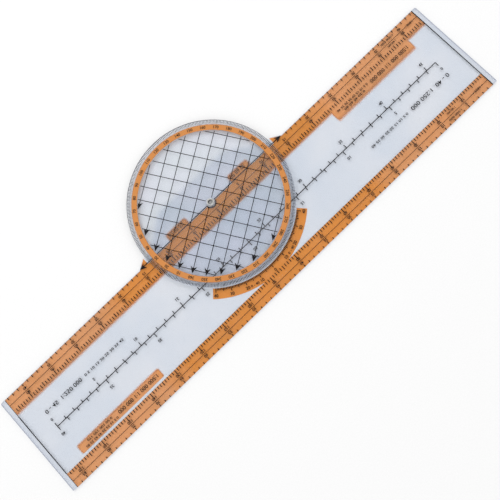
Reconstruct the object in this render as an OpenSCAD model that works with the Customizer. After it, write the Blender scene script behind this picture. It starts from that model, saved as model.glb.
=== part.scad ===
// Rotating-disc chart plotter: a clear straightedge with map scales and a clear degree disc on an eyelet.
// The origin is on the pivot's axis, in the plane that lies on the chart.
// X runs along the straightedge, Y from the straightedge towards the disc's far side, Z up.

/* [Bar] */
// Length of the straightedge
bar_len = 328.8; // [220:0.1:400]
// Width of the straightedge
bar_w = 63.5; // [52:0.1:90]
// Thickness of the bar's sheet
sheet_t = 1.0; // [0.8:0.05:2]
// Distance from the pivot down to the bar's upper edge
edge_drop = 0.25; // [0.25:0.05:2]
// Radius of the bar's four corners
bar_corner_r = 0.8; // [0.3:0.1:5]

/* [Hub tab] */
// Height of the tab's top edge above the pivot
tab_top = 19.4; // [12:0.1:30]
// Width of the tab's flat top
tab_flat = 52; // [30:0.5:70]
// Width of the tab where its ramps meet the bar
tab_foot = 112.4; // [90:0.1:140]
// Radius of the tab's two upper corners
tab_corner_r = 5; // [1:0.5:10]

/* [Disc] */
// Diameter of the disc
disc_d = 97.3; // [78:0.1:104]
// Thickness of the disc's sheet
disc_t = 1.0; // [0.6:0.05:2]

/* [Pivot] */
// Bore through the hollow eyelet
eyelet_bore_d = 2.6; // [1.6:0.1:3.4]
// Wall of the eyelet's barrel
eyelet_wall = 0.3; // [0.2:0.05:0.5]
// How far the eyelet's rolled head stands out beyond its barrel
head_lip = 0.7; // [0.5:0.05:1.2]
// How far the eyelet's clinched foot stands out beyond its barrel
foot_lip = 0.6; // [0.4:0.05:0.8]
// Thickness of the clinched foot
foot_t = 0.2; // [0.15:0.05:0.3]
// Outer diameter of the washer between bar and disc
spacer_d = 5.0; // [4.6:0.1:8]
// Thickness of the washer between bar and disc
spacer_t = 0.3; // [0.2:0.05:1]
// Outer diameter of the washer under the clinched foot
back_washer_d = 5.2; // [4.8:0.1:8]
// Thickness of the washer under the clinched foot
back_washer_t = 0.2; // [0.15:0.05:0.3]

/* [Fits] */
// Radial running clearance of the disc and the spacer on the barrel
run_clear = 0.05; // [0.02:0.01:0.1]
// End play of the disc, above it and below it
disc_play = 0.04; // [0.02:0.01:0.1]
// Clearance of fixed pieces in the bar
seat_clear = 0.03; // [0.02:0.01:0.1]
// Depth clearance above the orange films in their pockets
ink_seat = 0.02; // [0.01:0.01:0.1]

/* [Ink] */
// Thickness of every ink film
ink_t = 0.05; // [0.02:0.01:0.1]
// Width of scale ticks and scale lines
tick_w = 0.48; // [0.15:0.01:0.6]
// Width of the thin line along the middle of each band
band_line_w = 0.27; // [0.1:0.01:0.5]
// Width of the index line and of the end lines
bold_w = 0.53; // [0.2:0.01:0.8]
// Distance from each end of the bar to its end line
end_inset = 3.2; // [2:0.1:10]

/* [Bands] */
// How far the orange bands run out past the middle of each end line
band_over = 0.55; // [0:0.05:1.5]
// Height of the orange band along the upper edge, with its soft lower edge
upper_band_h = 12.2; // [8:0.1:15]
// Height of the orange band along the lower edge
lower_band_h = 9.35; // [8:0.1:15]
// Distance from the upper edge to the upper band's thin line
upper_line_drop = 4.55; // [3:0.05:6]
// Distance from the lower edge to the lower band's thin line
lower_line_rise = 4.1; // [3:0.05:6]
// Length of the ticks along the upper edge
upper_edge_tick = 1.6; // [0.8:0.1:2.5]
// Length of the ticks along the lower edge
lower_edge_tick = 1.2; // [0.8:0.1:2.5]
// Length of the upper band's inner unit ticks
upper_inner_tick = 2.0; // [1:0.1:2.4]
// Length of the lower band's inner unit ticks
lower_inner_tick = 1.9; // [1:0.1:2.4]
// Extra length of a fifth tick, and again of a tenth tick
tick_step = 0.65; // [0.3:0.05:0.8]
// Orange left bare between the upper band's inner ticks and its lower edge
inner_tick_margin = 2.25; // [0.1:0.05:3]

/* [Map scales] */
// One nautical mile on the ground, in metres
nautical_mile = 1852; // [1852:1:1852]
// One statute mile on the ground, in metres
statute_mile = 1609.3; // [1609.3:0.1:1609.3]
// Thousands in the ratio of the inner ticks
inner_ratio = 1000; // [500:50:2000]
// Thousands in the ratio of the edge ticks
edge_ratio = 500; // [250:50:1000]
// Thousands in the ratio of the scale along the middle
centre_ratio = 250; // [200:10:500]
// Nautical miles on the middle scale
centre_miles = 40; // [20:5:40]
// Height of the middle scale's line above the bar's own middle
centre_rise = 0.2; // [-3:0.1:3]
// Length of the middle scale's ticks above its line
centre_tick_up = 1.8; // [0.8:0.1:2.5]
// Length of the middle scale's ticks below its line
centre_tick_down = 1.9; // [0.8:0.1:2.5]

/* [Label panels] */
// Width of each of the two long label panels
label_w = 63; // [30:0.1:70]
// Height of each long label panel
label_h = 6.4; // [4:0.1:8]
// Distance from each end line to the outer end of its long panel
label_from_end = 12.9; // [5:0.1:20]
// Radius of the long panels' rounded corners
label_r = 1.5; // [0.5:0.1:2]
// Gap between the lower band and the panel above it
label_gap = 1.6; // [0.5:0.1:3]
// Width of each small panel on the tab
tab_label_w = 17; // [8:0.1:20]
// Height of each small panel on the tab, from the bar's upper edge
tab_label_h = 5.8; // [3:0.1:6]
// Distance from the pivot to the middle of each small panel
tab_label_x = 24.4; // [18:0.1:30]
// Width of the orange corner under each index arrow
arrow_patch_w = 6; // [4:0.5:10]

/* [Variation arc] */
// Gap between the disc's rim and the arc's inner edge
arc_gap = 0.55; // [0.3:0.05:3]
// Width of the arc
arc_w = 6.0; // [4:0.1:8]
// Half angle of the orange arc
arc_half = 42; // [41:0.5:44]
// Half angle of its degree scale
arc_scale_half = 40; // [20:5:40]
// Length of its one degree ticks
arc_tick = 1.2; // [0.6:0.1:1.6]

/* [Disc scales] */
// Clear rim from the disc's edge to the outer ends of the degree ticks
rim_clear = 0.2; // [0.1:0.05:0.5]
// Length of a one degree tick
degree_tick = 1.6; // [1:0.1:1.8]
// Extra length of a fifth and again of a tenth degree tick
degree_step = 0.25; // [0.1:0.05:0.3]
// Width of the degree ticks
degree_tick_w = 0.28; // [0.1:0.01:0.35]
// Distance from the disc's edge to the orange ring
ring_inset = 2.6; // [2.5:0.05:4]
// Width of the orange ring
ring_w = 3.7; // [2.5:0.1:5]

/* [Course grid] */
// Distance between the grid's lines
grid_pitch = 7.95; // [6:0.05:16]
// Width of the grid's lines
grid_line_w = 0.4; // [0.15:0.01:0.6]
// Angle of the arrowed lines from the index line, as stored
grid_angle = 32.4; // [0:0.1:90]
// Length of an arrowhead
arrow_len = 4.2; // [2:0.1:6]
// Width of an arrowhead
arrow_w = 3.6; // [2:0.1:5]
// Clear gap between the grid and the orange ring
grid_gap = 0.35; // [0.1:0.05:1]
// Clear gap round the eyelet's head and washer, on both sheets
hub_gap = 0.3; // [0.1:0.05:1]
// Length of each index arrow
index_arrow_len = 4.1; // [2:0.1:6]
// Width of each index arrow
index_arrow_w = 3.4; // [2:0.1:5]
// Depth of an arrowhead's notch, as a part of its length
arrow_notch = 0.28; // [0:0.01:0.5]

/* [Hidden] */
$fn = 128;
// depth by which a cutter passes a face
cut = 1;
half_len = bar_len / 2;
bar_top = -edge_drop;
bar_bot = bar_top - bar_w;
end_x = half_len - end_inset;
line_end = end_x - bold_w / 2;
band_end = end_x + band_over;
ramp_run = (tab_foot - tab_flat) / 2;
ramp_angle = atan((tab_top - bar_top) / ramp_run);

barrel_r = eyelet_bore_d / 2 + eyelet_wall;
head_r = barrel_r + head_lip;
foot_r = barrel_r + foot_lip;
recess_h = foot_t + back_washer_t;
recess_r = back_washer_d / 2 + seat_clear;
spacer_top = sheet_t + spacer_t;
disc_z = spacer_top + disc_play;
disc_top = disc_z + disc_t;
head_z = disc_top + ink_t + disc_play;
roll_r = (head_r - eyelet_bore_d / 2) / 2;

upper_band_low = bar_top - upper_band_h;
lower_band_high = bar_bot + lower_band_h;
upper_tick_low = upper_band_low + inner_tick_margin;
centre_y = (bar_top + bar_bot) / 2 + centre_rise;
label_in = end_x - label_from_end - label_w;
inner_pitch = nautical_mile / inner_ratio;
edge_pitch = nautical_mile / edge_ratio;
nautical_pitch = nautical_mile / centre_ratio;
statute_pitch = statute_mile / centre_ratio;
miles_fit = floor(2 * (end_x - bold_w) / nautical_pitch);
miles_drawn = min(centre_miles, miles_fit);
centre_half = miles_drawn * nautical_pitch / 2;
statute_drawn = floor((2 * centre_half - statute_pitch / 4) / statute_pitch);

disc_r = disc_d / 2;
arc_in = disc_r + arc_gap;
arc_out = arc_in + arc_w;
tick_out = disc_r - rim_clear;
ring_out = disc_r - ring_inset;
ring_in = ring_out - ring_w;
grid_r = ring_in - grid_gap;
grid_lines = floor(grid_r / grid_pitch);
hub_r = max(head_r, spacer_d / 2) + hub_gap;
loop_r = spacer_d / 2 + hub_gap + bold_w / 2;

// how much longer the tick with this count is: a fifth by one step, a tenth by two
function tick_extra(count, step) = count % 10 == 0 ? 2 * step : count % 5 == 0 ? step : 0;

// half the chord of a circle at a distance from its centre
function half_chord(r, d) = sqrt(max(r * r - d * d, 0));

// a rectangle with four round corners, from its lower left corner
module round_rect(x, y, w, h, r) {
    translate([x + r, y]) square([w - 2 * r, h]);
    translate([x, y + r]) square([w, h - 2 * r]);
    for (cx = [x + r, x + w - r], cy = [y + r, y + h - r]) translate([cx, cy]) circle(r);
}

// the tab above the bar: a trapezoid with two round upper corners
module tab_outline() {
    tangent = tab_corner_r * tan(ramp_angle / 2);
    flat_x = tab_flat / 2 - tangent;
    ramp_x = tab_flat / 2 + tangent * cos(ramp_angle);
    ramp_y = tab_top - tangent * sin(ramp_angle);
    foot_x = tab_foot / 2;
    root_y = bar_top - bar_corner_r;
    polygon([
        [-foot_x, root_y], [foot_x, root_y], [foot_x, bar_top], [ramp_x, ramp_y], [flat_x, tab_top],
        [-flat_x, tab_top], [-ramp_x, ramp_y], [-foot_x, bar_top]
    ]);
    for (side = [-1, 1]) translate([side * flat_x, tab_top - tab_corner_r]) circle(tab_corner_r);
}

module plate_outline() {
    round_rect(-half_len, bar_bot, bar_len, bar_w, bar_corner_r);
    tab_outline();
}

// flat shapes of the orange films on the bar's back
module upper_band_shape() {
    foot_x = tab_foot / 2;
    difference() {
        translate([-band_end, upper_band_low]) square([2 * band_end, upper_band_h]);
        circle(recess_r);
    }
    intersection() {
        plate_outline();
        for (side = [-1, 1])
            translate([side * (foot_x - arrow_patch_w / 2) - arrow_patch_w / 2, bar_top - bar_corner_r])
                square([arrow_patch_w, tab_top]);
    }
}

module lower_band_shape() {
    translate([-band_end, bar_bot]) square([2 * band_end, lower_band_h]);
}

module upper_label_shape() {
    low = upper_band_low - label_h;
    translate([label_in + label_r, low]) square([label_w - label_r, label_h]);
    translate([label_in, low + label_r]) square([label_w, label_h - label_r]);
    translate([label_in + label_r, low + label_r]) circle(label_r);
}

module lower_label_shape() {
    round_rect(-label_in - label_w, lower_band_high + label_gap, label_w, label_h, label_r);
}

module tab_label_shape() {
    for (side = [-1, 1])
        translate([side * tab_label_x - tab_label_w / 2, bar_top]) square([tab_label_w, tab_label_h]);
}

module variation_shape() {
    reach = 2 * arc_out;
    wedge_x = reach * sin(arc_half);
    wedge_y = -reach * cos(arc_half);
    intersection() {
        difference() {
            circle(arc_out);
            circle(arc_in);
        }
        polygon([[0, 0], [-wedge_x, wedge_y], [wedge_x, wedge_y]]);
        translate([-reach, lower_band_high]) square([2 * reach, reach]);
    }
}

module back_films() {
    upper_band_shape();
    lower_band_shape();
    upper_label_shape();
    lower_label_shape();
    tab_label_shape();
    variation_shape();
}

// an orange film let in flush with the bar's underside
module back_ink() {
    color("darkorange") linear_extrude(ink_t) children();
}

// a black film on the bar's front
module front_ink() {
    color([0.08, 0.08, 0.1]) translate([0, 0, sheet_t]) linear_extrude(ink_t) children();
}

// a film on the disc's front
module disc_ink(tint) {
    color(tint) translate([0, 0, disc_top]) linear_extrude(ink_t) children();
}

// a ring of a given height, from its lower face
module ring(outer_d, inner_d, z, h) {
    translate([0, 0, z]) difference() {
        cylinder(d = outer_d, h = h);
        translate([0, 0, -cut]) cylinder(d = inner_d, h = h + 2 * cut);
    }
}

module base_plate() {
    color([0.82, 0.85, 0.92, 0.5]) difference() {
        linear_extrude(sheet_t) plate_outline();
        translate([0, 0, -cut]) cylinder(r = barrel_r + seat_clear, h = sheet_t + 2 * cut);
        translate([0, 0, -cut]) cylinder(r = recess_r, h = recess_h + cut);
        translate([0, 0, -cut]) linear_extrude(cut + ink_t + ink_seat) back_films();
    }
}

module azimuth_disc() {
    color([0.82, 0.87, 0.92, 0.5]) ring(disc_d, 2 * (barrel_r + run_clear), disc_z, disc_t);
}

module spacer_washer() {
    color("gainsboro") ring(spacer_d, 2 * (barrel_r + run_clear), sheet_t, spacer_t);
}

module back_washer() {
    color("silver") ring(back_washer_d, 2 * (barrel_r + seat_clear), foot_t, back_washer_t);
}

// the barrel with its flat foot, flush in the bar's underside, and its rolled, half round head
module eyelet() {
    bore_r = eyelet_bore_d / 2;
    color("silver") rotate_extrude() {
        translate([bore_r, 0]) square([eyelet_wall, head_z]);
        translate([bore_r, 0]) square([foot_r - bore_r, foot_t]);
        intersection() {
            translate([bore_r + roll_r, head_z]) circle(roll_r);
            translate([bore_r, head_z]) square([2 * roll_r, roll_r]);
        }
    }
}

module upper_band() { back_ink() upper_band_shape(); }
module lower_band() { back_ink() lower_band_shape(); }
module upper_label_panel() { back_ink() upper_label_shape(); }
module lower_label_panel() { back_ink() lower_label_shape(); }
module tab_label_panels() { back_ink() tab_label_shape(); }
module variation_panel() { back_ink() variation_shape(); }

// an upright tick of a width, from its foot
module tick(x, y, w, h) {
    translate([x - w / 2, y]) square([w, h]);
}

// the upper scales count outwards from the pivot
module upper_edge_ticks() {
    first = ceil((tab_foot / 2 + tick_w) / edge_pitch);
    last = floor((line_end - tick_w) / edge_pitch);
    front_ink() for (side = [-1, 1], i = [first : last])
        tick(side * i * edge_pitch, bar_top - upper_edge_tick, tick_w, upper_edge_tick);
}

module upper_inner_ticks() {
    last = floor((line_end - tick_w) / inner_pitch);
    front_ink() for (i = [-last : last]) {
        h = upper_inner_tick + tick_extra(abs(i), tick_step);
        tick(i * inner_pitch, upper_tick_low, tick_w, h);
    }
}

// the lower scales count from the end line on the right
module lower_inner_ticks() {
    last = floor(2 * (end_x - tick_w) / inner_pitch);
    front_ink() for (i = [1 : last]) {
        h = lower_inner_tick + tick_extra(i, tick_step);
        tick(end_x - i * inner_pitch, lower_band_high - h, tick_w, h);
    }
}

module lower_edge_ticks() {
    last = floor(2 * (end_x - tick_w) / edge_pitch);
    front_ink() for (i = [1 : last]) {
        h = lower_edge_tick + (i % 5 == 0 ? tick_step / 2 : 0);
        tick(end_x - i * edge_pitch, bar_bot, tick_w, h);
    }
}

// each thin line joins the end lines
module band_lines() {
    left_end = -end_x + band_line_w / 2;
    front_ink() for (y = [bar_top - upper_line_drop, bar_bot + lower_line_rise])
        translate([left_end, y - band_line_w / 2]) square([line_end - left_end, band_line_w]);
}

// statute miles count up from the left above the line, nautical miles from the right below it
module centre_scale() {
    front_ink() {
        translate([-centre_half - tick_w / 2, centre_y - tick_w / 2])
            square([2 * centre_half + tick_w, tick_w]);
        for (i = [0 : statute_drawn]) {
            h = centre_tick_up + (i % 5 == 0 ? tick_step : 0);
            tick(-centre_half + i * statute_pitch, centre_y, tick_w, h);
        }
        for (i = [0 : miles_drawn]) {
            h = centre_tick_down + (i % 5 == 0 ? tick_step : 0);
            tick(centre_half - i * nautical_pitch, centre_y - h, tick_w, h);
        }
    }
}

// one arrow that points along -X with its tip at the origin
module arrowhead(len, w) {
    polygon([[0, 0], [len, -w / 2], [len * (1 - arrow_notch), 0], [len, w / 2]]);
}

// the line through the pivot, which passes below the spacer in a half circle and ends in two arrows
module index_line() {
    // each arrow's tip lies where the ramp's edge crosses the line
    tip_x = tab_foot / 2 - edge_drop / tan(ramp_angle);
    line_out = tip_x - index_arrow_len / 2;
    front_ink() {
        for (turn = [0, 180]) rotate(turn) {
            translate([-tip_x, 0]) arrowhead(index_arrow_len, index_arrow_w);
            translate([-line_out, -bold_w / 2]) square([line_out - loop_r, bold_w]);
        }
        difference() {
            circle(loop_r + bold_w / 2);
            circle(loop_r - bold_w / 2);
            translate([-2 * loop_r, bold_w / 2]) square(4 * loop_r);
        }
    }
}

// the right line crosses both bands, the left one is thin there
module end_lines() {
    front_ink() {
        tick(end_x, bar_bot, bold_w, bar_w);
        tick(-end_x, bar_bot, band_line_w, bar_w);
        tick(-end_x, lower_band_high, bold_w, upper_band_low - lower_band_high);
    }
}

module variation_ticks() {
    front_ink() for (i = [-arc_scale_half : arc_scale_half])
        rotate(i) translate([-tick_w / 2, -arc_in - arc_tick - tick_extra(abs(i), tick_step)])
            square([tick_w, arc_tick + tick_extra(abs(i), tick_step)]);
}

module azimuth_ring() {
    disc_ink("darkorange") difference() {
        circle(ring_out);
        circle(ring_in);
    }
}

module degree_ticks() {
    disc_ink([0.25, 0.25, 0.28]) for (i = [0 : 359]) {
        h = degree_tick + tick_extra(i, degree_step);
        rotate(grid_angle + i) translate([tick_out - h, -degree_tick_w / 2]) square([h, degree_tick_w]);
    }
}

// lines both ways across the disc, with the outermost arrows cut by the grid's own circle
module course_grid() {
    disc_ink([0.08, 0.08, 0.1]) rotate(grid_angle) difference() {
        intersection() {
            circle(grid_r);
            for (i = [-grid_lines : grid_lines]) {
                d = i * grid_pitch;
                reach = half_chord(grid_r, d);
                translate([-reach + arrow_len / 2, d - grid_line_w / 2])
                    square([2 * reach - arrow_len / 2, grid_line_w]);
                translate([d - grid_line_w / 2, -reach]) square([grid_line_w, 2 * reach]);
                translate([-reach, d]) arrowhead(arrow_len, arrow_w);
            }
        }
        circle(hub_r);
    }
}

base_plate();
azimuth_disc();
spacer_washer();
eyelet();
back_washer();
upper_band();
lower_band();
upper_label_panel();
lower_label_panel();
tab_label_panels();
variation_panel();
upper_edge_ticks();
upper_inner_ticks();
lower_inner_ticks();
lower_edge_ticks();
band_lines();
centre_scale();
index_line();
end_lines();
variation_ticks();
azimuth_ring();
degree_ticks();
course_grid();
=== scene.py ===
import math
import bpy
import numpy as np
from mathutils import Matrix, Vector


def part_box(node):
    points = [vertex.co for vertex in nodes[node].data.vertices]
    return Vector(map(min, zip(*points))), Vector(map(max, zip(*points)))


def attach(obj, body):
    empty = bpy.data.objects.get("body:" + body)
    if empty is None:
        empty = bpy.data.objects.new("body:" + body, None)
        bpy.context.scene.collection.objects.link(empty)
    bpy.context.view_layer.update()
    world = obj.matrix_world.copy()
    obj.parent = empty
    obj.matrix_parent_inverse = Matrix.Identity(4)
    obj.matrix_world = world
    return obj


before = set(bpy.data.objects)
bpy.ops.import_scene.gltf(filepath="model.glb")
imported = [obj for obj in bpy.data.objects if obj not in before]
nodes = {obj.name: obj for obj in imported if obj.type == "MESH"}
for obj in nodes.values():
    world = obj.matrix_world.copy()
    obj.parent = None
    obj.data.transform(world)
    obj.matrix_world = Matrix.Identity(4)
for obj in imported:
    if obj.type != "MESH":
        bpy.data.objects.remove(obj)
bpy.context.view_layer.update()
mm = 0.001


def addObject(name, data):
    obj = bpy.data.objects.new(name, data)
    bpy.context.scene.collection.objects.link(obj)
    return obj


# camera, as the photograph was taken: nearly straight down, close above the bar
camera = {
    "placeMm": (-9.84, -68.64, 274.09),
    "turn": (5.952, 3.684, -43.853),  # degrees
    "lens": 35.134,
    "sensor": 36.0,
    "shift": 0.5 / 500,  # half a pixel, because pixels are counted from their middles
    "nearMm": 10.0,
    "farMm": 20000.0,
}


def makeCamera(c):
    data = bpy.data.cameras.new("camera")
    data.sensor_width = c["sensor"]
    data.lens = c["lens"]
    data.shift_x = -c["shift"]
    data.shift_y = c["shift"]
    data.clip_start = c["nearMm"] * mm
    data.clip_end = c["farMm"] * mm
    obj = addObject("camera", data)
    obj.location = [v * mm for v in c["placeMm"]]
    obj.rotation_euler = [math.radians(v) for v in c["turn"]]
    bpy.context.scene.camera = obj


makeCamera(camera)
bpy.context.scene.view_settings.view_transform = "Standard"
# two clear sheets with their films are up to ten faces deep each way
bpy.context.scene.cycles.transparent_max_bounces = 32
# the denoiser's guides stay as sharp as they come, which keeps ticks half a pixel wide
bpy.context.scene.cycles.denoising_prefilter = "NONE"
print("camera set")


def linear(hexText):
    # a colour as picked on a screen, turned into light: the sRGB curve taken off
    c = np.array([int(hexText[i:i + 2], 16) for i in (1, 3, 5)]) / 255
    c = np.where(c <= 0.04045, c / 12.92, ((c + 0.055) / 1.055) ** 2.4)
    return (float(c[0]), float(c[1]), float(c[2]), 1.0)


white = linear("#ffffff")


def addNode(tree, kind, settings=None, inputs=None):
    node = tree.nodes.new(kind)
    for key, value in (settings or {}).items():
        setattr(node, key, value)
    for key, value in (inputs or {}).items():
        if isinstance(value, bpy.types.NodeSocket):
            tree.links.new(value, node.inputs[key])
        else:
            node.inputs[key].default_value = value
    return node


def newMaterial(name):
    material = bpy.data.materials.new(name)
    material.use_nodes = True
    tree = material.node_tree
    tree.nodes.clear()
    place = addNode(tree, "ShaderNodeTexCoord").outputs
    return material, tree, place


def setSurface(tree, shader):
    addNode(tree, "ShaderNodeOutputMaterial", inputs={"Surface": shader})


def split(tree, vector):
    return addNode(tree, "ShaderNodeSeparateXYZ", inputs={"Vector": vector}).outputs


def noise(tree, vector, sizeMm, detail=3.0):
    # soft cloud of about this size, from 0 to 1
    return addNode(tree, "ShaderNodeTexNoise", inputs={
        "Vector": vector, "Scale": 1 / (sizeMm * mm), "Detail": detail, "Roughness": 0.5,
    }).outputs["Fac"]


def remap(tree, value, low, high, toLow=0.0, toHigh=1.0):
    return addNode(tree, "ShaderNodeMapRange", inputs={
        "Value": value, "From Min": low, "From Max": high, "To Min": toLow, "To Max": toHigh,
    }).outputs["Result"]


def maths(tree, kind, a, b=0.0, clamp=False):
    settings = {"operation": kind, "use_clamp": clamp}
    return addNode(tree, "ShaderNodeMath", settings, {0: a, 1: b}).outputs[0]


def blendColour(tree, share, a, b):
    node = addNode(tree, "ShaderNodeMix", {"data_type": "RGBA"}, {"Factor": share})
    for socket, value in zip([s for s in node.inputs if s.type == "RGBA"], (a, b)):
        if isinstance(value, bpy.types.NodeSocket):
            tree.links.new(value, socket)
        else:
            socket.default_value = value
    return next(s for s in node.outputs if s.type == "RGBA")


def principled(tree, colour, roughness, more=None):
    inputs = {"Base Color": colour, "Roughness": roughness, **(more or {})}
    return addNode(tree, "ShaderNodeBsdfPrincipled", inputs=inputs).outputs[0]


def letThrough(tree, colour):
    return addNode(tree, "ShaderNodeBsdfTransparent", inputs={"Color": colour}).outputs[0]


def mixShaders(tree, share, first, second):
    return addNode(tree, "ShaderNodeMixShader", inputs={0: share, 1: first, 2: second}).outputs[0]


def softEdge(tree, value, sign, edge, width):
    # cover that rises smoothly from none at the film's edge to full at this width inside it
    depth = maths(tree, "MULTIPLY", maths(tree, "SUBTRACT", value, edge * mm), float(sign))
    return addNode(tree, "ShaderNodeMapRange", {"interpolation_type": "SMOOTHSTEP"}, {
        "Value": depth, "From Min": 0.0, "From Max": width * mm, "To Min": 0.0, "To Max": 1.0,
    }).outputs["Result"]


def radiusFrom(tree, axes):
    # distance from the pivot: the square root of x squared plus y squared
    squares = [maths(tree, "MULTIPLY", axes[k], axes[k]) for k in ("X", "Y")]
    return maths(tree, "SQRT", maths(tree, "ADD", squares[0], squares[1]))


# what both clear sheets share: each pair is the stretch of a cloud that is spread over none to all
clearStock = {
    "tintCut": (0.35, 0.65),
    "scratchTurns": (0.5, 2.0),
    "scratchCut": (0.66, 0.74),
    "wearMm": 17.0,
    "wearCut": (0.4, 0.65),
    "waveMm": 14.0,
    "waveDepthMm": 0.03,
    "waveStrength": 0.5,
    "glossCut": (0.3, 0.7),
    "glossSpread": (0.8, 1.3),
    "hazeRoughness": 0.45,
    "shine": 0.7,
    "straightOn": 0.05,
    "ior": 1.54,
}
# calendered clear vinyl: press polished and faintly lavender, with fine scratches from handling
clearSheet = dict(
    clearStock,
    passes=("#f7f8fa", "#f4f6f9"),
    tintMm=38.0,
    sidePasses="#c9ccd6",
    hazeColour="#d9deec",
    scratchHaze=0.04,
    scratchMm=(46.0, 0.42),
    gloss=0.10,
    # half widths of the tab's flat top and of its foot, its height, how far its outline is blurred
    # and the share by which all of its tint is paler
    tab={"flatMm": 26.0, "footMm": 56.2, "topMm": 19.4, "fadeMm": 5.0, "paler": 0.12},
)
# the disc's sheet has a fine matt face that takes pencil, so it is hazier and duller; its rim's side
# wall is painted dark grey, as painted shade for the dark outline of its edge
discSheet = dict(
    clearStock,
    passes=("#f8f9fc", "#f6f8fa"),
    tintMm=22.0,
    # side walls that pass little light: painted shade for the disc's edge, which also casts the rim's
    # shadow
    sidePasses="#6a6b72",
    hazeColour="#ddd9d8",
    scratchHaze=0.06,
    scratchMm=(30.0, 0.35),
    gloss=0.22,
    # the rim's share and colour paint the side wall dark grey: painted shade
    matt={"top": 0.045, "rim": 0.8, "rimShadeColour": "#77777c"},
)


def tabFade(tree, where, t):
    # the disc's matt face blurs the tab below it, so the tab's tint fades out towards its outline,
    # by the distance to the flat top or to the ramp, whichever is nearer
    axes = split(tree, where)
    slope = math.atan2(t["topMm"], t["footMm"] - t["flatMm"])
    top = maths(tree, "SUBTRACT", t["topMm"] * mm, axes["Y"])
    out = maths(tree, "SUBTRACT", t["footMm"] * mm, maths(tree, "ABSOLUTE", axes["X"]))
    ramp = maths(tree, "SUBTRACT", maths(tree, "MULTIPLY", out, math.sin(slope)),
                 maths(tree, "MULTIPLY", axes["Y"], math.cos(slope)))
    inside = maths(tree, "MINIMUM", top, ramp)
    onTab = softEdge(tree, axes["Y"], 1, 0.0, t["fadeMm"])
    edge = maths(tree, "SUBTRACT", 1.0, softEdge(tree, inside, 1, 0.0, t["fadeMm"]))
    share = maths(tree, "MAXIMUM", edge, t["paler"])
    return maths(tree, "MULTIPLY", share, onTab)


def scratches(tree, where, s):
    # a cloud stretched along each of two directions, cut to its thin crests and kept in worn places
    lines = None
    for turn in s["scratchTurns"]:
        lay = addNode(tree, "ShaderNodeMapping", inputs={
            "Vector": where, "Rotation": (0.0, 0.0, turn),
            "Scale": (1 / (s["scratchMm"][0] * mm), 1 / (s["scratchMm"][1] * mm), 1.0),
        }).outputs["Vector"]
        crest = addNode(tree, "ShaderNodeTexNoise", inputs={
            "Vector": lay, "Scale": 1.0, "Detail": 2.0, "Roughness": 0.6,
        }).outputs["Fac"]
        crest = remap(tree, crest, *s["scratchCut"])
        lines = crest if lines is None else maths(tree, "MAXIMUM", lines, crest)
    wear = remap(tree, noise(tree, where, s["wearMm"], 2.0), *s["wearCut"])
    return maths(tree, "MULTIPLY", lines, wear)


def clearPlastic(name, s):
    material, tree, place = newMaterial(name)
    where = place["Object"]
    cloud = noise(tree, where, s["tintMm"], 4.0)
    tint = remap(tree, cloud, *s["tintCut"])
    passes = blendColour(tree, tint, linear(s["passes"][0]), linear(s["passes"][1]))
    # side walls pass less light: on the bar because the way through is long there, on the disc far
    # less, as painted shade that darkens its edge and casts its shadow
    up = split(tree, place["Normal"])["Z"]
    side = maths(tree, "LESS_THAN", maths(tree, "ABSOLUTE", up), 0.5)
    passes = blendColour(tree, side, passes, linear(s["sidePasses"]))
    if "tab" in s:
        passes = blendColour(tree, tabFade(tree, where, s["tab"]), passes, white)
    haze = maths(tree, "MULTIPLY", scratches(tree, where, s), s["scratchHaze"])
    hazeAndRimShadeColour = linear(s["hazeColour"])
    if "matt" in s:
        # the upper face is matt, and the rim's side wall is painted dark grey and nearly opaque:
        # painted shade for the dark outline of the disc's edge
        matt = s["matt"]
        top = maths(tree, "GREATER_THAN", up, 0.5)
        haze = maths(tree, "ADD", haze, maths(tree, "MULTIPLY", top, matt["top"]))
        haze = maths(tree, "MAXIMUM", haze, maths(tree, "MULTIPLY", side, matt["rim"]))
        hazeAndRimShadeColour = blendColour(tree, side, hazeAndRimShadeColour, linear(matt["rimShadeColour"]))
    dull = principled(tree, hazeAndRimShadeColour, s["hazeRoughness"], {"IOR": s["ior"]})
    hazed = mixShaders(tree, haze, letThrough(tree, passes), dull)
    # the sheet isn't dead flat, so reflections wander a little
    wave = addNode(tree, "ShaderNodeBump", inputs={
        "Height": noise(tree, where, s["waveMm"], 1.0),
        "Distance": s["waveDepthMm"] * mm, "Strength": s["waveStrength"],
    }).outputs["Normal"]
    rough = remap(tree, cloud, *s["glossCut"], *[s["gloss"] * k for k in s["glossSpread"]])
    shine = addNode(tree, "ShaderNodeBsdfGlossy", inputs={
        "Color": white, "Roughness": rough, "Normal": wave,
    }).outputs[0]
    # light isn't bent on its way through, so both faces of the sheet reflect as one seen from the air
    inside = addNode(tree, "ShaderNodeNewGeometry").outputs["Backfacing"]
    ior = remap(tree, inside, 0.0, 1.0, s["ior"], 1 / s["ior"])
    grazing = addNode(tree, "ShaderNodeFresnel", inputs={"IOR": ior, "Normal": wave}).outputs[0]
    # seen straight on, a clear sheet's own reflection is lost in the light that comes through it
    grazing = maths(tree, "SUBTRACT", grazing, s["straightOn"])
    grazing = maths(tree, "MULTIPLY", grazing, s["shine"], True)
    setSurface(tree, mixShaders(tree, grazing, hazed, shine))
    return material


# screen printed orange: a dense opaque ink that is paler towards the bar's ends
orangeInk = {
    "strong": "#ed984a",
    "pale": "#f0a871",
    "ring": "#c3834a",
    "paleFromMm": 70.0,
    "paleToMm": 92.0,
    "cloudMm": 9.0,
    "cloudCut": (0.35, 0.65),
    "cloudSpread": 0.15,
    "grainMm": 0.9,
    "grainCut": (0.3, 0.7),
    "grainColour": "#b9622a",
    "grainShare": 0.12,
    "roughness": 0.55,
    "ior": 1.5,
    "sheen": 0.08,
}


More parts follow.
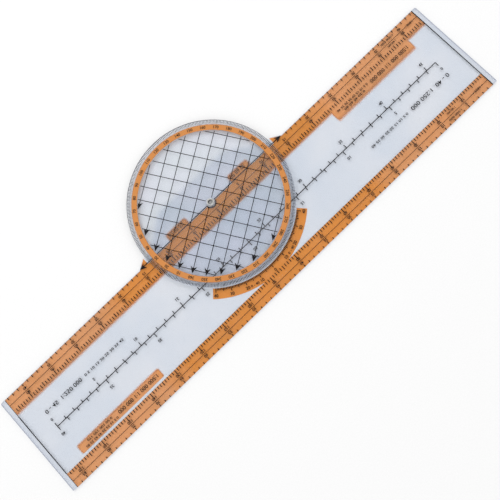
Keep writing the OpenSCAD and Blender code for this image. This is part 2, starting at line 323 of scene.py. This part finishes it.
def along(tree, axes, axis):
    # "X" or "Y", "far" for the distance along x to either side of the pivot, "radius" for that from it
    if axis == "far":
        return maths(tree, "ABSOLUTE", axes["X"])
    if axis == "radius":
        return radiusFrom(tree, axes)
    return axes[axis]


def inkCover(tree, axes, edges):
    # the product of a smooth rise inwards from each edge (axis, sign, place in mm, width in mm)
    cover = 1.0
    for axis, sign, edge, width in edges:
        rise = softEdge(tree, along(tree, axes, axis), sign, edge, width)
        cover = maths(tree, "MULTIPLY", rise, cover)
    return cover


def orangeScreenInk(name, s, soft=(), full=(), only=None):
    # soft: edges where the ink thins out, full: edges of a stretch where it doesn't
    material, tree, place = newMaterial(name)
    where = place["Object"]
    axes = split(tree, where)
    out = remap(tree, maths(tree, "ABSOLUTE", axes["X"]), s["paleFromMm"] * mm, s["paleToMm"] * mm)
    cloud = noise(tree, where, s["cloudMm"])
    cloud = remap(tree, cloud, *s["cloudCut"], -s["cloudSpread"], s["cloudSpread"])
    out = maths(tree, "ADD", out, cloud, True)
    colour = blendColour(tree, out, linear(only or s["strong"]), linear(only or s["pale"]))
    grain = noise(tree, where, s["grainMm"], 2.0)
    grain = remap(tree, grain, *s["grainCut"], 0.0, s["grainShare"])
    colour = blendColour(tree, grain, colour, linear(s["grainColour"]))
    ink = principled(tree, colour, s["roughness"], {"IOR": s["ior"], "Specular IOR Level": s["sheen"]})
    if soft:
        cover = inkCover(tree, axes, soft)
        if full:
            cover = maths(tree, "MAXIMUM", cover, inkCover(tree, axes, full))
        ink = mixShaders(tree, cover, letThrough(tree, white), ink)
    setSurface(tree, ink)
    return material


# screen printed black: thin and matt, a warm black with pinholes too small to see
blackInk = {
    "dense": "#110f11",
    "thin": "#231f20",
    "grainMm": 0.5,
    "grainCut": (0.35, 0.7),
    "roughness": 0.55,
    "roughnessSpread": 0.2,
    "ior": 1.5,
    "sheen": 0.12,
    "cover": 1.0,
}
# the disc's crowded degree ticks took less ink, so they look grey
tickInk = dict(blackInk, cover=0.7)
# the numbers on the tab lie under the disc's matt face, which makes them look fainter still
tabNumberInk = dict(blackInk, cover=0.5)


def blackScreenInk(name, s):
    material, tree, place = newMaterial(name)
    grain = remap(tree, noise(tree, place["Object"], s["grainMm"]), *s["grainCut"])
    colour = blendColour(tree, grain, linear(s["dense"]), linear(s["thin"]))
    rough = remap(tree, grain, 0.0, 1.0, s["roughness"], s["roughness"] + s["roughnessSpread"])
    ink = principled(tree, colour, rough, {"IOR": s["ior"], "Specular IOR Level": s["sheen"]})
    if s["cover"] < 1:
        ink = mixShaders(tree, s["cover"], letThrough(tree, white), ink)
    setSurface(tree, ink)
    return material


# rolled aluminium gone dull and grey, its grey partly painted shade for the darker surroundings it
# reflects: drawn round, so its fine lines run round the axis
eyeletMetal = {
    "bright": "#bcbdbc",
    "dull": "#979694",
    "dullMm": 1.2,
    "dullCut": (0.4, 0.7),
    "dullShare": 0.6,
    "lineMm": 0.08,
    "lineDepthMm": 0.01,
    "lineStrength": 0.6,
    "roughness": 0.5,
    "roughnessSpread": 0.2,
}
# the washers are stamped, and their metal is a brighter copy of the eyelet's: painted light that
# offsets the shade between the sheets, where their edges show
washerMetalPaintedBright = dict(eyeletMetal, bright="#ecedee", dull="#d6d6d6", roughness=0.6)


def roundAluminium(name, s):
    # the lines are a cloud of the distance from the axis and the height, so they are the same all round
    material, tree, place = newMaterial(name)
    axes = split(tree, place["Object"])
    rings = addNode(tree, "ShaderNodeCombineXYZ", inputs={
        "X": radiusFrom(tree, axes), "Y": axes["Z"], "Z": 0.0,
    }).outputs[0]
    tarnish = noise(tree, place["Object"], s["dullMm"])
    tarnish = remap(tree, tarnish, *s["dullCut"], 0.0, s["dullShare"])
    colour = blendColour(tree, tarnish, linear(s["bright"]), linear(s["dull"]))
    bump = addNode(tree, "ShaderNodeBump", inputs={
        "Height": noise(tree, rings, s["lineMm"], 2.0),
        "Distance": s["lineDepthMm"] * mm, "Strength": s["lineStrength"],
    }).outputs["Normal"]
    roughest = s["roughness"] + s["roughnessSpread"]
    rough = remap(tree, tarnish, 0.0, s["dullShare"], s["roughness"], roughest)
    setSurface(tree, principled(tree, colour, rough, {"Metallic": 1.0, "Normal": bump}))
    return material


def dress(material, *names):
    for name in names:
        slots = nodes[name].data.materials
        if len(slots) == 0:
            slots.append(material)
        for i in range(len(slots)):
            slots[i] = material


def vertexTable(mesh):
    points = np.zeros(len(mesh.vertices) * 3, np.float32)
    mesh.vertices.foreach_get("co", points)
    return points.reshape(-1, 3)


# how wide the orange print's soft edges are, in mm
softWidth = {
    "band": 3.6,
    "panelLong": 3.9,
    "lowerPanelLong": 2.4,
    "panelEnd": 1.6,
    "tabPanel": 2.8,
    "ringInside": 0.4,
    "ringOutside": 0.7,
}


def lowSide(node, width):
    return [("Y", 1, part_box(node)[0].y / mm, width)]


def highSide(node, width):
    return [("Y", -1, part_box(node)[1].y / mm, width)]


def bothEnds(node, width):
    low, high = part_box(node)
    return [("X", 1, low.x / mm, width), ("X", -1, high.x / mm, width)]


def betweenEdges(axis, distances, inner, outer):
    near, far = float(distances.min()) / mm, float(distances.max()) / mm
    return [(axis, 1, near, inner), (axis, -1, far, outer)]


tabPanels = vertexTable(nodes["tab_label_panels"].data)
ring = vertexTable(nodes["azimuth_ring"].data)
ringRadii = np.hypot(ring[:, 0], ring[:, 1])
bandSoft = lowSide("upper_band", softWidth["band"])
upperEnds = bothEnds("upper_label_panel", softWidth["panelEnd"])
upperSoft = upperEnds + lowSide("upper_label_panel", softWidth["panelLong"])
lowerSoft = bothEnds("lower_label_panel", softWidth["panelEnd"])
lowerSoft += highSide("lower_label_panel", softWidth["lowerPanelLong"])
# two equal panels in one node, one each side of the pivot
tabSoft = betweenEdges("far", np.abs(tabPanels[:, 0]), softWidth["tabPanel"], softWidth["tabPanel"])
tabSoft += highSide("tab_label_panels", softWidth["tabPanel"])
ringSoft = betweenEdges("radius", ringRadii, softWidth["ringInside"], softWidth["ringOutside"])

dress(clearPlastic("clearCalenderedVinyl", clearSheet), "base_plate")
dress(clearPlastic("mattFacedVinyl", discSheet), "azimuth_disc")
dress(orangeScreenInk("orangeInk", orangeInk), "lower_band", "variation_panel")
dress(orangeScreenInk("orangeInkUpperBand", orangeInk, bandSoft, upperEnds), "upper_band")
dress(orangeScreenInk("orangeInkUpperPanel", orangeInk, upperSoft), "upper_label_panel")
dress(orangeScreenInk("orangeInkLowerPanel", orangeInk, lowerSoft), "lower_label_panel")
dress(orangeScreenInk("orangeInkTabPanels", orangeInk, tabSoft), "tab_label_panels")
dress(orangeScreenInk("orangeInkRing", orangeInk, ringSoft, only=orangeInk["ring"]), "azimuth_ring")
black = blackScreenInk("blackInk", blackInk)
dress(black, "upper_edge_ticks", "upper_inner_ticks", "lower_inner_ticks", "lower_edge_ticks",
      "band_lines", "centre_scale", "index_line", "end_lines", "variation_ticks", "course_grid")
dress(blackScreenInk("blackInkThin", tickInk), "degree_ticks")
faintBlack = blackScreenInk("blackInkFaint", tabNumberInk)
dress(roundAluminium("rolledAluminium", eyeletMetal), "eyelet")
dress(roundAluminium("stampedAluminiumPaintedBright", washerMetalPaintedBright), "spacer_washer", "back_washer")
print("materials made")


# printed numbers: a font's outlines as flat films
letterShapes = {}


def flatLetters(text, bold):
    # points (n, 2) and triangles (m, 3) of a line of letters, about its middle and in units of its
    # height: each point less the middle of the lowest and the highest, over their height difference
    if (text, bold) in letterShapes:
        return letterShapes[text, bold]
    curve = bpy.data.curves.new("letters", "FONT")
    curve.body = text
    curve.resolution_u = 3
    curve.offset = bold
    obj = addObject("letters", curve)
    mesh = bpy.data.meshes.new_from_object(obj.evaluated_get(bpy.context.evaluated_depsgraph_get()))
    points = vertexTable(mesh)[:, :2].astype(float)
    mesh.calc_loop_triangles()
    triangles = np.zeros(len(mesh.loop_triangles) * 3, np.int32)
    mesh.loop_triangles.foreach_get("vertices", triangles)
    triangles = triangles.reshape(-1, 3)
    bpy.data.objects.remove(obj)
    bpy.data.curves.remove(curve)
    bpy.data.meshes.remove(mesh)
    # doubles are merged so that the film below closes
    _, first, same = np.unique(np.round(points, 5), axis=0, return_index=True, return_inverse=True)
    points = points[first]
    triangles = same.ravel()[triangles]
    # faces that look down are turned up, by the sign of twice their area, and empty ones are dropped
    a, b, c = (points[triangles[:, i]] for i in range(3))
    area = (b[:, 0] - a[:, 0]) * (c[:, 1] - a[:, 1]) - (b[:, 1] - a[:, 1]) * (c[:, 0] - a[:, 0])
    triangles = np.where((area < 0)[:, None], triangles[:, ::-1], triangles)[np.abs(area) > 1e-9]
    low, high = points.min(0), points.max(0)
    points = (points - (low + high) / 2) / (high[1] - low[1])
    letterShapes[text, bold] = (points, triangles)
    return points, triangles


def label(text, x, y, height, turn=180.0, width=None, mirrored=False):
    # a line of letters by its middle, height and width in mm and its turn in degrees
    return text, x, y, height, turn, width, mirrored


def placedLetters(text, x, y, height, turn, width, mirrored, bold):
    # scaled to its height and width, turned by its angle's sine and cosine, and moved to its middle
    points, triangles = flatLetters(text, bold)
    wide = height if width is None else width / (points[:, 0].max() - points[:, 0].min())
    local = points * [wide, -height if mirrored else height]
    if mirrored:
        triangles = triangles[:, ::-1]
    c, s = math.cos(math.radians(turn)), math.sin(math.radians(turn))
    return local @ np.array([[c, s], [-s, c]]) + [x, y], triangles


def printedFilm(name, labels, bold, low, high, body, ink):
    # every flat shape gets a lower and an upper face, and a wall round each outline, which runs along
    # the triangles' edges that no other triangle has the other way round
    allPoints, allTriangles, count = [], [], 0
    for one in labels:
        points, triangles = placedLetters(*one, bold)
        allPoints.append(points)
        allTriangles.append(triangles + count)
        count += len(points)
    points = np.vstack(allPoints)
    triangles = np.vstack(allTriangles)
    edges = np.vstack([triangles[:, [0, 1]], triangles[:, [1, 2]], triangles[:, [2, 0]]])
    there = edges[:, 0].astype(np.int64) * count + edges[:, 1]
    back = edges[:, 1].astype(np.int64) * count + edges[:, 0]
    rim = edges[~np.isin(there, back)]
    wall = np.vstack([
        np.c_[rim[:, 0], rim[:, 1], rim[:, 1] + count],
        np.c_[rim[:, 0], rim[:, 1] + count, rim[:, 0] + count],
    ])
    faces = np.vstack([triangles[:, ::-1], triangles + count, wall])
    verts = np.vstack([np.c_[points, np.full(count, low)], np.c_[points, np.full(count, high)]]) * mm
    mesh = bpy.data.meshes.new(name)
    mesh.from_pydata(verts.tolist(), [], faces.tolist())
    mesh.materials.append(ink)
    obj = addObject(name, mesh)
    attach(obj, body)


# stroke thickening, in font units where a digit is 0.7 high
strokes = {"plain": 0.008, "small": 0.018, "bold": 0.022}
# metres in a mile, and the scales in thousands: a mile on the plotter is their quotient in mm
nauticalMile = 1852
statuteMile = 1609.3
bandScale = 1000
bandPitch = 10 * nauticalMile / bandScale
upperNumbers = {"pitch": bandPitch, "count": 8, "edgeRow": -3.15, "innerRow": -6.15, "height": 1.7}
lowerNumbers = {
    "pitch": bandPitch,
    "count": 17,
    "innerRow": -58.05,
    "edgeRow": -61.0,
    "height": 1.75,
    "endLineHalf": 0.265,  # half the end line's width
}
centreNumbers = {
    "scale": 250,
    "every": 5,
    "statuteMiles": 45,
    "nauticalMiles": 40,
    "statuteRow": -26.85,
    "nauticalRow": -36.95,
    "height": 1.8,
}
arcNumbers = {"radius": 53.35, "height": 1.85, "noteAt": 15.2, "noteHeight": 1.5, "noteWidth": 5.2}
ringNumbers = {"zeroAt": 212.4, "radius": 44.2, "height": 1.8, "filmMm": 0.03}


def bandPair(k, x, s):
    # tens by the tick row for 1:1 000 000, and fives by the edge for 1:500 000
    return [
        label(str(10 * k), x, s["innerRow"], s["height"]),
        label(str(5 * k), x, s["edgeRow"], s["height"]),
    ]


def upperLabels(s):
    # counts outwards both ways: the pivot's place plus or less the count times the pitch
    labels = [label("0", 0.0, s["innerRow"], s["height"])]
    for k in range(1, s["count"] + 1):
        for side in (-1, 1):
            labels += bandPair(k, side * k * s["pitch"], s)
    return labels


def lowerLabels(s):
    # counts from the end line on the right: its middle less the count times the pitch
    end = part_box("end_lines")[1].x / mm - s["endLineHalf"]
    labels = []
    for k in range(1, s["count"] + 1):
        labels += bandPair(k, end - k * s["pitch"], s)
    return labels


def centreLabels(s):
    # statute miles count from the left, in mirror writing, and nautical miles from the right:
    # half the scale's length less the count times the mile
    half = s["nauticalMiles"] * nauticalMile / s["scale"] / 2
    labels = []
    for k in range(0, s["statuteMiles"] + 1, s["every"]):
        x = k * statuteMile / s["scale"] - half
        labels.append(label(str(k), x, s["statuteRow"], s["height"], 0.0, None, True))
    for k in range(0, s["nauticalMiles"] + 1, s["every"]):
        x = half - k * nauticalMile / s["scale"]
        labels.append(label(str(k), x, s["nauticalRow"], s["height"]))
    return labels


def arcLabels(s):
    # round the pivot, by degrees from straight down: radius times sine, and less radius times cosine
    rows = [(str(abs(a)), a, s["height"], None) for a in range(-40, 50, 10)]
    rows += [("0 - 40", side * s["noteAt"], s["noteHeight"], s["noteWidth"]) for side in (-1, 1)]
    labels = []
    for text, a, height, width in rows:
        t = math.radians(a)
        x, y = s["radius"] * math.sin(t), -s["radius"] * math.cos(t)
        labels.append(label(text, x, y, height, a, width))
    return labels


def ringLabels(s):
    # every ten degrees clockwise from the arrows' direction, tops outwards: radius times cosine, and
    # radius times sine
    labels = []
    for k in range(36):
        direction = s["zeroAt"] - 10 * k
        t = math.radians(direction)
        x, y = s["radius"] * math.cos(t), s["radius"] * math.sin(t)
        labels.append(label(str(10 * k if k else 360), x, y, s["height"], direction - 90))
    return labels


# plain ratios and numbers stand where such a plotter names its scales
bigRatios = [
    label("1:500 000 1:1 000 000", 129.25, -13.85, 2.3, width=29.5),
    label("1:500 000 1:1 000 000", -103.0, -50.05, 2.3, width=29.5),
    label("0 - 45  1:250 000", -134.7, -21.75, 2.4, 0.0, 27.3, True),
    label("0 - 40  1:250 000", 133.8, -41.75, 2.4, width=29.5),
]
smallRatios = [
    label("0 5 10 15 20 25 30 35 40", 100.5, -13.05, 1.35, width=24.0),
    label("0 20 40 60 80", 100.5, -15.1, 1.35, width=16.0),
    label("0 5 15 25 35 45 65 75 85", -131.5, -51.45, 1.35, width=24.0),
    label("0 50 100 150 170", -131.5, -49.15, 1.35, width=18.5),
    label("0 5 10 15 20 25 30 35 45", -103.7, -21.75, 1.5, 0.0, 29.5, True),
    label("0 5 10 15 20 25 30 35 40", 101.7, -41.75, 1.5, width=28.5),
    label("1:500 000", 138.75, -2.75, 1.2, width=9.5),
    label("1 000 000", 139.4, -6.2, 1.1, width=6.0),
    label("- 1852 -", 155.2, -4.8, 1.3, width=7.5),
    label("1 000 000", 133.9, -57.8, 1.1, width=6.0),
    label("1:500 000", 133.75, -61.4, 1.2, width=9.5),
    label("- 1852 -", 153.2, -59.6, 1.3, width=7.5),
]
# on the tab's two small panels, under the disc
tabPanelNumbers = [
    label("270 300 330", -25.0, 2.6, 2.6, width=11.4),
    label("30 60 90", 23.4, 2.6, 2.6, width=11.0),
]

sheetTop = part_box("base_plate")[1].z / mm
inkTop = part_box("band_lines")[1].z / mm
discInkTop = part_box("azimuth_ring")[1].z / mm
print("print faces at", round(sheetTop, 3), round(inkTop, 3), round(discInkTop, 3))
for name, labels, stroke, ink in (
    ("upper_band_numbers", upperLabels(upperNumbers), "bold", black),
    ("lower_band_numbers", lowerLabels(lowerNumbers), "bold", black),
    ("centre_scale_numbers", centreLabels(centreNumbers), "bold", black),
    ("scale_ratios", bigRatios, "plain", black),
    ("scale_summaries", smallRatios, "small", black),
    ("tab_panel_numbers", tabPanelNumbers, "bold", faintBlack),
    ("arc_numbers", arcLabels(arcNumbers), "bold", black),
):
    printedFilm(name, labels, strokes[stroke], sheetTop, inkTop, "bar", ink)
filmTop = discInkTop + ringNumbers["filmMm"]
labels = ringLabels(ringNumbers)
printedFilm("ring_numbers", labels, strokes["bold"], discInkTop, filmTop, "disc", black)
print("numbers printed")


# pale matt table of smooth board, and soft studio light: a white dome with a weak softbox behind
table = {
    "sideMm": 4000.0,
    "dropMm": 0.05,
    "colours": ("#e8e8e8", "#e5e5e5"),
    "fibreMm": 0.8,
    "fibreCut": (0.3, 0.7),
    "roughness": 0.9,
}
light = {
    "domeColour": "#ffffff",
    "domeStrength": 1.09,
    "boxPlace": (0.08, 0.91, 0.88),  # metres, beyond the tab
    "boxSize": 0.75,
    "boxWatts": 4.0,
}


def makeTable(s):
    # one square about the pivot: plus and less half its side, a little below the plotter
    half = s["sideMm"] * mm / 2
    z = -s["dropMm"] * mm
    corners = [(-half, -half, z), (half, -half, z), (half, half, z), (-half, half, z)]
    mesh = bpy.data.meshes.new("table")
    mesh.from_pydata(corners, [], [(0, 1, 2, 3)])
    material, tree, place = newMaterial("whitePaperBoard")
    fibre = remap(tree, noise(tree, place["Object"], s["fibreMm"], 4.0), *s["fibreCut"])
    colour = blendColour(tree, fibre, linear(s["colours"][0]), linear(s["colours"][1]))
    setSurface(tree, principled(tree, colour, s["roughness"]))
    mesh.materials.append(material)
    addObject("table", mesh)


def makeLight(s):
    world = bpy.data.worlds.new("studio")
    world.use_nodes = True
    back = world.node_tree.nodes["Background"]
    back.inputs["Color"].default_value = linear(s["domeColour"])
    back.inputs["Strength"].default_value = s["domeStrength"]
    bpy.context.scene.world = world
    data = bpy.data.lights.new("softbox", "AREA")
    data.shape = "DISK"
    data.size = s["boxSize"]
    data.energy = s["boxWatts"]
    obj = addObject("softbox", data)
    place = np.array(s["boxPlace"])
    obj.location = place
    # it looks at the pivot
    aim = -place / np.linalg.norm(place)
    obj.rotation_euler = (math.acos(-aim[2]), 0.0, math.atan2(-aim[0], aim[1]))


makeTable(table)
makeLight(light)
print("table and light set")
